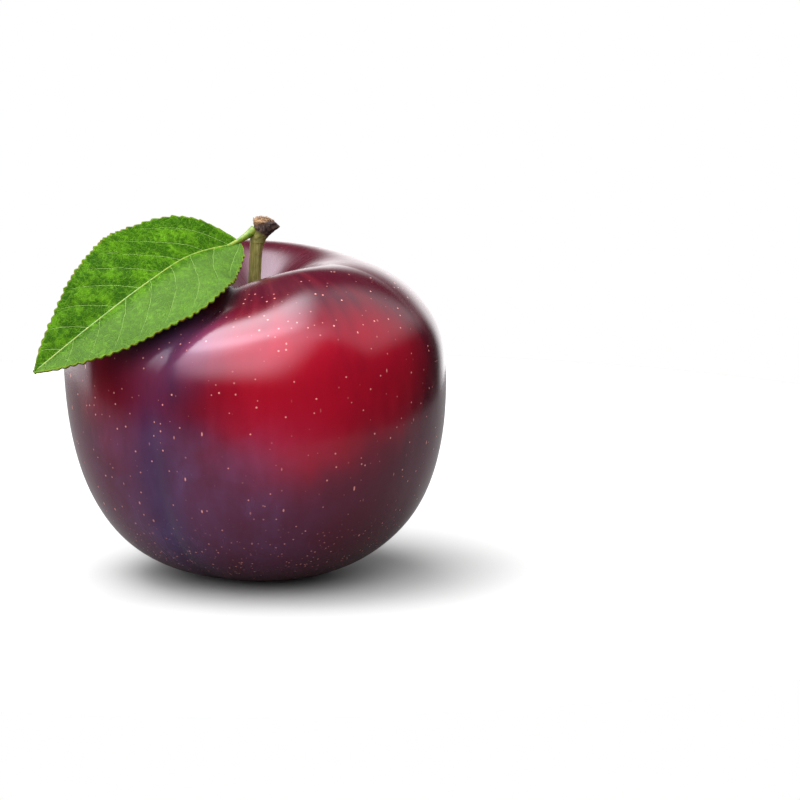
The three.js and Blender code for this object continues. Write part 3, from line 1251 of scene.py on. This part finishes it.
    def _splinter(self, foot: np.ndarray, size: Band, lean: Band) -> bpy.types.Object:
        """One tapered fibre.

        Args:
            foot: where it stands.
            size: its radius and its length.
            lean: its turn about X and about Y, in radians.

        Returns:
            The fibre.
        """
        radius, length = size
        deselect_all()
        bpy.ops.mesh.primitive_cone_add(
            vertices=self.fibre_sides,
            radius1=radius * MM,
            radius2=self.fibre_taper * radius * MM,
            depth=length * MM,
            location=(foot + (0, 0, length / 2)) * MM,
            rotation=(lean[0], lean[1], 0),
        )
        return bpy.context.object


@dataclass
class Leaf:
    """The leaf: petiole, midrib and a toothed blade that arches over the shoulder."""

    line_points: tuple[Point, ...] = (
        (-1.8, -0.5, 52.6),
        (-10.3, -8.2, 51.6),
        (-16.9, -17.3, 48.7),
        (-25.1, -23.0, 43.2),
        (-34.0, -25.9, 36.3),
    )
    facing_points: tuple[Point, ...] = (
        (0.07, -0.63, 0.77),
        (-0.16, -0.78, 0.61),
        (-0.46, -0.83, 0.32),
    )
    petiole_foot: Point = (-0.75, -0.1, 54.5)
    petiole_bend: Point = (-1.9, -0.6, 53.6)
    blade_start: float = 0.035
    half_width: float = 10.3
    end_width: float = 0.3
    thickness: float = 0.34
    fold: float = math.radians(7)
    margin_waves: float = 3.5
    margin_wave_height: float = 0.25
    widest: float = 0.8
    fullness: float = 0.85
    teeth: int = 38
    tooth_height: float = 0.42
    tooth_peak: float = 0.7
    tooth_back: float = 1.2
    tooth_front: float = 0.8
    tooth_uneven: tuple[float, float, float] = (0.85, 0.25, 2.4)
    tooth_band: Band = (0.9, 1.0)
    tooth_widths: Band = (0.0, 4.0)
    wave_widths: Band = (0.0, 6.0)
    rows_to_a_tooth: int = 8
    columns: int = 120
    vein_spacing: float = 0.118
    vein_forward: Band = (0.2, 0.09)
    vein_offset: float = 0.42
    quilt: float = 0.13
    quilt_roundness: float = 0.7
    quilt_start: Band = (0.02, 0.3)
    quilt_end: Band = (0.75, 1.0)
    quilt_widths: Band = (1.0, 6.0)
    rib_radius: float = 0.46
    rib_tip_radius: float = 0.2
    rib_rise: float = 0.04
    rib_sink_share: float = 0.06
    rib_thinning: Band = (1.5, 0.6)
    rib_end: float = 0.985
    rib_stations: int = 90
    rib_joins: tuple[int, int] = (8, 12)
    petiole_radius: float = 0.7
    petiole_taper: float = 0.3
    petiole_taper_share: float = 0.5
    petiole_stations: int = 24

    def build(self) -> None:
        """Models the blade and the rib and dresses them."""
        self._line = RoundedLine(self.line_points)
        self._facing = RoundedLine(self.facing_points)
        finish = LeafFinish()
        hand_in(self._blade(), "leaf_blade", Slot.LEAF, finish.blade(), "leaf")
        hand_in(self._rib(), "leaf_midrib", Slot.LEAF, finish.rib(), "leaf")

    def _frame(self, share: float) -> tuple[np.ndarray, np.ndarray, np.ndarray]:
        """Finds how the leaf lies at one place.

        Args:
            share: the share of the leaf's line.

        Returns:
            The line's place there, the blade's upper side and the way across it.
        """
        tangent = self._line.tangent(share)
        facing = self._facing.by_parameter(share)
        normal = facing - facing.dot(tangent) * tangent
        normal /= np.linalg.norm(normal)
        return self._line.at(share), normal, np.cross(normal, tangent)

    def _half_width(self, share: np.ndarray | float) -> np.ndarray | float:
        """How far the blade reaches from its midrib at a share of its length."""
        width = self.half_width * np.sin(np.pi * share**self.widest) ** self.fullness
        return np.maximum(width, self.end_width)

    def _tooth(self, share: np.ndarray) -> np.ndarray:
        """The margin's round-backed teeth.

        Args:
            share: the share of the blade's length.

        Returns:
            About 0 in a notch and 1 at a tip.
        """
        phase = (share * self.teeth) % 1
        peak = self.tooth_peak
        rising = np.sin(np.pi / 2 * np.clip(phase / peak, 0, 1)) ** self.tooth_back
        falling = 1 - np.clip((phase - peak) / (1 - peak), 0, 1) ** self.tooth_front
        middle, swing, step = self.tooth_uneven
        uneven = middle + swing * np.sin(np.floor(share * self.teeth) * step)
        return np.where(phase < self.tooth_peak, rising, falling) * uneven

    def _vein_phase(self, share: np.ndarray, side: np.ndarray) -> np.ndarray:
        """A number that is whole on every side vein.

        Args:
            share: the share of the blade's length.
            side: -1 at one margin, 0 at the midrib and 1 at the other margin.

        Returns:
            The number, which falls outwards, so that the veins lean forward.
        """
        out = np.abs(side)
        slim = self._half_width(share) / self.half_width
        forward = (self.vein_forward[0] * out + self.vein_forward[1] * out**2) * slim
        return (share - forward) / self.vein_spacing + self.vein_offset * (side > 0) + 0.5

    def _blade(self) -> bpy.types.Object:
        """Bends a flat grid into the blade, thickens it and keeps its coordinates.

        Returns:
            The blade.
        """
        rows = self.teeth * self.rows_to_a_tooth
        deselect_all()
        bpy.ops.mesh.primitive_grid_add(x_subdivisions=self.columns, y_subdivisions=rows, size=2)
        blade = bpy.context.object
        flat = places_of(blade) * MM
        side = flat[:, 0]
        share = (flat[:, 1] + 1) / 2
        centres, normals, acrosses = self._frames_for(share)
        width = self._half_width(share)
        out = np.abs(side)
        tooth = self._tooth(share) * self.tooth_height * smoothstep(width, *self.tooth_widths)
        reach = side * width + np.sign(side) * tooth * smoothstep(out, *self.tooth_band)
        wave = self.margin_wave_height * out**2
        wave *= np.sin(2 * np.pi * self.margin_waves * share + side)
        lift = out * width * math.sin(self.fold) + wave * smoothstep(width, *self.wave_widths)
        phase = self._vein_phase(share, side)
        lift += self._quilting(phase, out, width)
        place = centres + acrosses * (reach * math.cos(self.fold))[:, None]
        place += normals * lift[:, None]
        self._keep_sheet(blade, share, reach)
        keep_attribute(blade, "out", out)
        keep_attribute(blade, "side", side)
        keep_attribute(blade, "edge", np.maximum(width - out * width, 0))
        keep_attribute(blade, "vein_phase", phase)
        move_to(blade, place)
        bpy.ops.object.transform_apply(location=True, rotation=True, scale=True)
        skin = blade.modifiers.new("thickness", "SOLIDIFY")
        skin.thickness = self.thickness * MM
        skin.offset = 0
        bpy.ops.object.modifier_apply(modifier=skin.name)
        bpy.ops.object.mode_set(mode="EDIT")
        close_edit(blade)
        return blade

    def _frames_for(self, share: np.ndarray) -> tuple[np.ndarray, np.ndarray, np.ndarray]:
        """Finds how the leaf lies at every vertex, worked out once for each row.

        Args:
            share: each vertex's share of the blade's length.

        Returns:
            The line's place, the upper side and the way across, for each vertex.
        """
        found, row = np.unique(np.round(share, 6), return_inverse=True)
        frames = [self._frame(self.blade_start + (1 - self.blade_start) * s) for s in found]
        centres, normals, acrosses = (np.array(part)[row] for part in zip(*frames))
        return centres, normals, acrosses

    def _quilting(self, phase: np.ndarray, out: np.ndarray, width: np.ndarray) -> np.ndarray:
        """How far the blade swells between its side veins.

        Args:
            phase: each vertex's vein phase.
            out: 0 at the midrib and 1 at the margin.
            width: how far the blade reaches from its midrib there.

        Returns:
            The swelling in millimetres.
        """
        between = np.abs(np.sin(np.pi * phase)) ** self.quilt_roundness
        fade = smoothstep(out, *self.quilt_start) * (1 - smoothstep(out, *self.quilt_end))
        return self.quilt * between * fade * smoothstep(width, *self.quilt_widths)

    def _keep_sheet(self, blade: bpy.types.Object, share: np.ndarray, reach: np.ndarray) -> None:
        """Writes the blade's flat coordinates, in millimetres, to its UV map.

        Args:
            blade: the grid that becomes the blade.
            share: each vertex's share of the blade's length.
            reach: each vertex's distance from the midrib.
        """
        along = share * self._line.length
        layer = blade.data.uv_layers.active
        layer.name = "sheet"
        corners = np.empty(len(blade.data.loops), int)
        blade.data.loops.foreach_get("vertex_index", corners)
        layer.data.foreach_set("uv", np.stack([reach, along], axis=1)[corners].ravel())

    def _rib(self) -> bpy.types.Object:
        """Bevels a curve along the petiole and midrib, thinning to the leaf's tip.

        Returns:
            The petiole and midrib.
        """
        places = self._rib_stations()
        deselect_all()
        bpy.ops.curve.primitive_nurbs_path_add()
        rib = bpy.context.object
        curve = rib.data
        curve.splines.clear()
        spline = curve.splines.new("POLY")
        spline.points.add(len(places) - 1)
        for point, (place, radius) in zip(spline.points, places):
            point.co = (*(place * MM), 1.0)
            point.radius = radius
        curve.dimensions = "3D"
        curve.bevel_depth = MM
        curve.bevel_resolution = 5
        curve.use_fill_caps = True
        bpy.ops.object.convert(target="MESH")
        rib = bpy.context.object
        bpy.ops.object.mode_set(mode="EDIT")
        close_edit(rib)
        return rib

    def _rib_stations(self) -> list[tuple[np.ndarray, float]]:
        """Runs the petiole into the midrib, which sinks into the blade.

        Returns:
            The centre and the radius of each station, in millimetres.
        """
        midrib = []
        for share in np.linspace(0, self.rib_end, self.rib_stations):
            centre, normal, _ = self._frame(share)
            radius = self._rib_radius_at(share)
            sink = radius - self.thickness / 2 - self.rib_rise
            sink *= float(smoothstep(share, 0, self.rib_sink_share))
            midrib.append((centre - normal * sink, radius))
        joins = [midrib[station][0] for station in self.rib_joins]
        line = RoundedLine([self.petiole_foot, self.petiole_bend, *joins])
        petiole = []
        for share in np.linspace(0, 1, self.petiole_stations)[:-1]:
            taper = self.petiole_taper * float(smoothstep(share, 0, self.petiole_taper_share))
            petiole.append((line.at(share), self.petiole_radius - taper))
        return petiole + midrib[self.rib_joins[-1] :]

    def _rib_radius_at(self, share: float) -> float:
        """Finds how thick the midrib is.

        Args:
            share: the share of the leaf's line.

        Returns:
            The radius in millimetres.
        """
        speed, power = self.rib_thinning
        thinned = min(share * speed, 1.0) ** power
        return self.rib_radius + (self.rib_tip_radius - self.rib_radius) * thinned


@dataclass(frozen=True)
class Softbox:
    """A soft-edged rectangle of light, far away in one direction.

    Its sides are tangents of the angle off that direction: across from left to right, and
    upward from its lower to its upper side. An azimuth turns from the camera side to +X.
    """

    azimuth: float
    elevation: float
    across: Band
    upward: Band
    soft: float
    strength: float

    NEAREST = 1e-3

    def shine(self, nodes: Nodes, direction: Socket) -> Socket:
        """How much light comes from each direction.

        Args:
            nodes: the world's nodes.
            direction: the direction, as a vector of length 1.

        Returns:
            The light's strength there.
        """
        turn, lift = math.radians(self.azimuth), math.radians(self.elevation)
        right = Vector((math.cos(turn), math.sin(turn), 0))
        level = Vector((math.sin(turn), -math.cos(turn), 0))
        towards = level * math.cos(lift) + Vector((0, 0, math.sin(lift)))
        depth = nodes.math("MAXIMUM", nodes.dot(direction, towards), self.NEAREST)
        light: Value = self.strength
        for axis, (low, high) in ((right, self.across), (towards.cross(right), self.upward)):
            off = nodes.math("DIVIDE", nodes.dot(direction, axis), depth)
            for edge, inward in ((low, 1), (high, -1)):
                half = self.soft / 2 * inward
                light = nodes.product(nodes.rise(off, edge - half, edge + half), light)
        return light


@dataclass
class Studio:
    """A small white table, and soft light from overhead, the front, both sides and behind."""

    overhead: Softbox = Softbox(15, 90, (-0.7, 0.17), (-0.15, 0.7), 0.32, 7.8)
    front: Softbox = Softbox(-15, 40, (-0.75, 0.6), (-0.55, 1.1), 0.9, 4.4)
    left: Softbox = Softbox(-85, 52, (-0.5, 0.5), (-0.4, 0.5), 0.4, 2.2)
    right: Softbox = Softbox(105, 45, (-0.6, 0.75), (-0.5, 0.55), 0.4, 1.1)
    behind: Softbox = Softbox(180, 5, (-0.6, 2.0), (-0.55, 0.2), 0.3, 2.1)
    gloom: float = 0.03
    table_radius: float = 155.0
    table_centre: Point = (0.0, 60.0, -0.02)
    table_sides: int = 128
    table_roughness: float = 0.9
    table_gloss: float = 0.1
    table_white: float = 0.44
    table_bounce: float = 0.14

    def build(self) -> None:
        """Lays the table and sets the world's light."""
        self._table()
        self._world()
        bpy.context.scene.view_settings.view_transform = "Standard"

    def _table(self) -> None:
        """Lays a round white table top just under the fruit."""
        deselect_all()
        bpy.ops.mesh.primitive_circle_add(
            vertices=self.table_sides,
            radius=self.table_radius * MM,
            fill_type="NGON",
            location=Vector(self.table_centre) * MM,
        )
        table = bpy.context.object
        table.name = "studio_table"
        s = Shader("studio_white")
        seen = s.add("LightPath", {}).outputs["Is Camera Ray"]
        white = s.mix(seen, (self.table_bounce,) * 3, (self.table_white,) * 3)
        s.set(Base_Color=white, Roughness=self.table_roughness)
        s.set(Specular_IOR_Level=self.table_gloss)
        table.data.materials.append(s.material)
        log.info("studio table laid")

    def _world(self) -> None:
        """Lights the scene by direction, with plain white where the camera sees past it."""
        world = bpy.data.worlds.new("studio")
        bpy.context.scene.world = world
        world.use_nodes = True
        nodes = Nodes(world.node_tree)
        direction = nodes.add("TexCoord", {}).outputs["Generated"]
        boxes = (self.overhead, self.front, self.left, self.right, self.behind)
        lit = nodes.total(self.gloom, *(box.shine(nodes, direction) for box in boxes))
        seen = nodes.add("LightPath", {}).outputs["Is Camera Ray"]
        strength = nodes.add("Mix", {0: seen, 2: lit, 3: 1.0}).outputs[0]
        light = nodes.add("Background", {0: (1.0, 1.0, 1.0, 1.0), 1: strength})
        nodes.put(nodes.add("OutputWorld", {}), 0, light.outputs[0])
        log.info("studio light set")


@dataclass
class Viewpoint:
    """The photograph's viewpoint: about 12 degrees above the floor, from 0.7 m away."""

    distance: float = 700.0
    elevation: float = math.radians(12)
    aim: Point = (22.06, 5.61, 26.41)
    frame_width: float = 126.3
    sensor_width: float = 36.0
    clip: Band = (0.05, 50.0)

    def build(self) -> None:
        """Sets up the camera."""
        data = bpy.data.cameras.new("camera")
        data.sensor_width = self.sensor_width
        data.lens = self.sensor_width * self.distance / self.frame_width
        data.clip_start, data.clip_end = self.clip
        camera = bpy.data.objects.new("camera", data)
        bpy.context.scene.collection.objects.link(camera)
        rise = Vector((0, -math.cos(self.elevation), math.sin(self.elevation)))
        camera.location = rise * self.distance * MM
        ahead = Vector(self.aim) * MM - camera.location
        camera.rotation_euler = ahead.to_track_quat("-Z", "Y").to_euler()
        bpy.context.scene.camera = camera
        log.info("camera set")


def main() -> None:
    """Builds the viewpoint, the plum's pieces and the studio, in order."""
    logging.basicConfig(level=logging.INFO, format="%(name)s: %(message)s")
    for sub_assembly in (Viewpoint(), Fruit(), Stalk(), SpurWood(), Leaf(), Studio()):
        sub_assembly.build()


if __name__ == "__main__":
    main()
